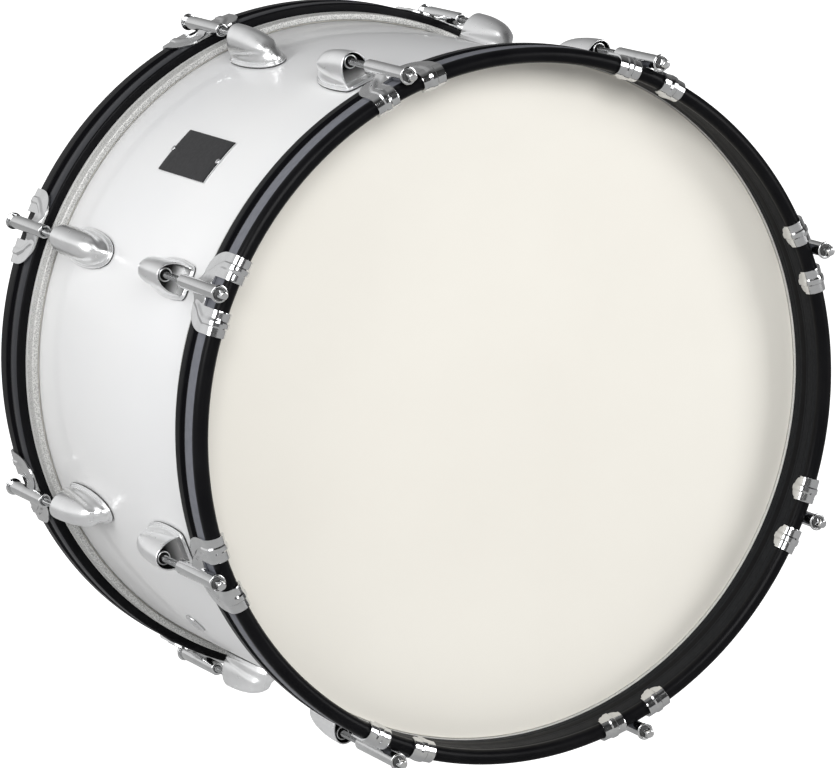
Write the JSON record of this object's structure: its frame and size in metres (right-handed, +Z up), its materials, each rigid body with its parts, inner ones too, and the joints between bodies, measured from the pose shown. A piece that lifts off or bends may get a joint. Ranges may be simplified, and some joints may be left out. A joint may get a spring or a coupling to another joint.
{
  "type": "marching bass drum",
  "caption": "Shallow two-headed bass drum for marching: wrapped wood shell, lacquered counter hoops held by hooked claws and key-turned tension rods that screw into separate lugs.",
  "frame": {"origin": "on the ground under the middle of the shell, where both hoops stand", "axes": "+Z up, Y along the drum's axis with the front head facing -Y, +X to the right as seen from the front"},
  "size_m": [0.5864, 0.4228, 0.5864],
  "materials": {
    "shell_wood": "bare maple plies, sealed",
    "white_wrap": "gloss white wrap",
    "hoop_lacquer": "gloss black lacquer over wood",
    "head_film": "smooth warm white film, satin",
    "flesh_ring": "satin",
    "lug_chrome": "chrome on a die casting",
    "claw_chrome": "bright chrome",
    "rod_chrome": "bright chrome",
    "trim_chrome": "bright chrome",
    "badge_metal": "dark anodised, brushed, bare of any mark"
  },
  "bodies": {
    "drum_shell": {"shell": "shell_wood", "shell_wrap": "white_wrap", "vent_grommet": "trim_chrome", "badge_plate": "badge_metal", "badge_pin_front": "trim_chrome", "badge_pin_rear": "trim_chrome", "front_lug_1": "lug_chrome", "front_lug_2": "lug_chrome", "front_lug_3": "lug_chrome", "front_lug_4": "lug_chrome", "front_lug_5": "lug_chrome", "front_lug_6": "lug_chrome", "front_lug_7": "lug_chrome", "front_lug_8": "lug_chrome", "rear_lug_1": "lug_chrome", "rear_lug_2": "lug_chrome", "rear_lug_3": "lug_chrome", "rear_lug_4": "lug_chrome", "rear_lug_5": "lug_chrome", "rear_lug_6": "lug_chrome", "rear_lug_7": "lug_chrome", "rear_lug_8": "lug_chrome"},
    "front_hoop_set": {"front_hoop": "hoop_lacquer", "front_flesh_hoop": "flesh_ring", "front_head": "head_film", "front_claw_1": "claw_chrome", "front_claw_2": "claw_chrome", "front_claw_3": "claw_chrome", "front_claw_4": "claw_chrome", "front_claw_5": "claw_chrome", "front_claw_6": "claw_chrome", "front_claw_7": "claw_chrome", "front_claw_8": "claw_chrome"},
    "rear_hoop_set": {"rear_hoop": "hoop_lacquer", "rear_flesh_hoop": "flesh_ring", "rear_head": "head_film", "rear_claw_1": "claw_chrome", "rear_claw_2": "claw_chrome", "rear_claw_3": "claw_chrome", "rear_claw_4": "claw_chrome", "rear_claw_5": "claw_chrome", "rear_claw_6": "claw_chrome", "rear_claw_7": "claw_chrome", "rear_claw_8": "claw_chrome"},
    "front_rod_1_body": {"front_rod_1": "rod_chrome"},
    "front_rod_2_body": {"front_rod_2": "rod_chrome"},
    "front_rod_3_body": {"front_rod_3": "rod_chrome"},
    "front_rod_4_body": {"front_rod_4": "rod_chrome"},
    "front_rod_5_body": {"front_rod_5": "rod_chrome"},
    "front_rod_6_body": {"front_rod_6": "rod_chrome"},
    "front_rod_7_body": {"front_rod_7": "rod_chrome"},
    "front_rod_8_body": {"front_rod_8": "rod_chrome"},
    "rear_rod_1_body": {"rear_rod_1": "rod_chrome"},
    "rear_rod_2_body": {"rear_rod_2": "rod_chrome"},
    "rear_rod_3_body": {"rear_rod_3": "rod_chrome"},
    "rear_rod_4_body": {"rear_rod_4": "rod_chrome"},
    "rear_rod_5_body": {"rear_rod_5": "rod_chrome"},
    "rear_rod_6_body": {"rear_rod_6": "rod_chrome"},
    "rear_rod_7_body": {"rear_rod_7": "rod_chrome"},
    "rear_rod_8_body": {"rear_rod_8": "rod_chrome"}
  },
  "joints": [
    {"name": "front_tuning", "type": "slide", "parent": "drum_shell", "child": "front_hoop_set", "axis": [0, -1, 0], "range_m": [0, 0.00635]},
    {"name": "rear_tuning", "type": "slide", "parent": "drum_shell", "child": "rear_hoop_set", "axis": [0, 1, 0], "range_m": [0, 0.00635]},
    {"name": "front_rod_1_turn", "type": "hinge", "parent": "front_hoop_set", "child": "front_rod_1_body", "pos_m": [0.11469, -0.17, 0.57009], "axis": [0, -1, 0], "range_deg": [-1, 2161]},
    {"name": "front_rod_2_turn", "type": "hinge", "parent": "front_hoop_set", "child": "front_rod_2_body", "pos_m": [0.27689, -0.17, 0.40789], "axis": [0, -1, 0], "range_deg": [-1, 2161]},
    {"name": "front_rod_3_turn", "type": "hinge", "parent": "front_hoop_set", "child": "front_rod_3_body", "pos_m": [0.27689, -0.17, 0.17851], "axis": [0, -1, 0], "range_deg": [-1, 2161]},
    {"name": "front_rod_4_turn", "type": "hinge", "parent": "front_hoop_set", "child": "front_rod_4_body", "pos_m": [0.11469, -0.17, 0.01631], "axis": [0, -1, 0], "range_deg": [-1, 2161]},
    {"name": "front_rod_5_turn", "type": "hinge", "parent": "front_hoop_set", "child": "front_rod_5_body", "pos_m": [-0.11469, -0.17, 0.01631], "axis": [0, -1, 0], "range_deg": [-1, 2161]},
    {"name": "front_rod_6_turn", "type": "hinge", "parent": "front_hoop_set", "child": "front_rod_6_body", "pos_m": [-0.27689, -0.17, 0.17851], "axis": [0, -1, 0], "range_deg": [-1, 2161]},
    {"name": "front_rod_7_turn", "type": "hinge", "parent": "front_hoop_set", "child": "front_rod_7_body", "pos_m": [-0.27689, -0.17, 0.40789], "axis": [0, -1, 0], "range_deg": [-1, 2161]},
    {"name": "front_rod_8_turn", "type": "hinge", "parent": "front_hoop_set", "child": "front_rod_8_body", "pos_m": [-0.11469, -0.17, 0.57009], "axis": [0, -1, 0], "range_deg": [-1, 2161]},
    {"name": "rear_rod_1_turn", "type": "hinge", "parent": "rear_hoop_set", "child": "rear_rod_1_body", "pos_m": [-0.11469, 0.17, 0.57009], "axis": [0, 1, 0], "range_deg": [-1, 2161]},
    {"name": "rear_rod_2_turn", "type": "hinge", "parent": "rear_hoop_set", "child": "rear_rod_2_body", "pos_m": [-0.27689, 0.17, 0.40789], "axis": [0, 1, 0], "range_deg": [-1, 2161]},
    {"name": "rear_rod_3_turn", "type": "hinge", "parent": "rear_hoop_set", "child": "rear_rod_3_body", "pos_m": [-0.27689, 0.17, 0.17851], "axis": [0, 1, 0], "range_deg": [-1, 2161]},
    {"name": "rear_rod_4_turn", "type": "hinge", "parent": "rear_hoop_set", "child": "rear_rod_4_body", "pos_m": [-0.11469, 0.17, 0.01631], "axis": [0, 1, 0], "range_deg": [-1, 2161]},
    {"name": "rear_rod_5_turn", "type": "hinge", "parent": "rear_hoop_set", "child": "rear_rod_5_body", "pos_m": [0.11469, 0.17, 0.01631], "axis": [0, 1, 0], "range_deg": [-1, 2161]},
    {"name": "rear_rod_6_turn", "type": "hinge", "parent": "rear_hoop_set", "child": "rear_rod_6_body", "pos_m": [0.27689, 0.17, 0.17851], "axis": [0, 1, 0], "range_deg": [-1, 2161]},
    {"name": "rear_rod_7_turn", "type": "hinge", "parent": "rear_hoop_set", "child": "rear_rod_7_body", "pos_m": [0.27689, 0.17, 0.40789], "axis": [0, 1, 0], "range_deg": [-1, 2161]},
    {"name": "rear_rod_8_turn", "type": "hinge", "parent": "rear_hoop_set", "child": "rear_rod_8_body", "pos_m": [0.11469, 0.17, 0.57009], "axis": [0, 1, 0], "range_deg": [-1, 2161]}
  ],
  "couplings": [
    {"joint": "front_rod_1_turn", "follows": "front_tuning", "rad_per_m": 5936.9},
    {"joint": "front_rod_2_turn", "follows": "front_tuning", "rad_per_m": 5936.9},
    {"joint": "front_rod_3_turn", "follows": "front_tuning", "rad_per_m": 5936.9},
    {"joint": "front_rod_4_turn", "follows": "front_tuning", "rad_per_m": 5936.9},
    {"joint": "front_rod_5_turn", "follows": "front_tuning", "rad_per_m": 5936.9},
    {"joint": "front_rod_6_turn", "follows": "front_tuning", "rad_per_m": 5936.9},
    {"joint": "front_rod_7_turn", "follows": "front_tuning", "rad_per_m": 5936.9},
    {"joint": "front_rod_8_turn", "follows": "front_tuning", "rad_per_m": 5936.9},
    {"joint": "rear_rod_1_turn", "follows": "rear_tuning", "rad_per_m": 5936.9},
    {"joint": "rear_rod_2_turn", "follows": "rear_tuning", "rad_per_m": 5936.9},
    {"joint": "rear_rod_3_turn", "follows": "rear_tuning", "rad_per_m": 5936.9},
    {"joint": "rear_rod_4_turn", "follows": "rear_tuning", "rad_per_m": 5936.9},
    {"joint": "rear_rod_5_turn", "follows": "rear_tuning", "rad_per_m": 5936.9},
    {"joint": "rear_rod_6_turn", "follows": "rear_tuning", "rad_per_m": 5936.9},
    {"joint": "rear_rod_7_turn", "follows": "rear_tuning", "rad_per_m": 5936.9},
    {"joint": "rear_rod_8_turn", "follows": "rear_tuning", "rad_per_m": 5936.9}
  ]
}
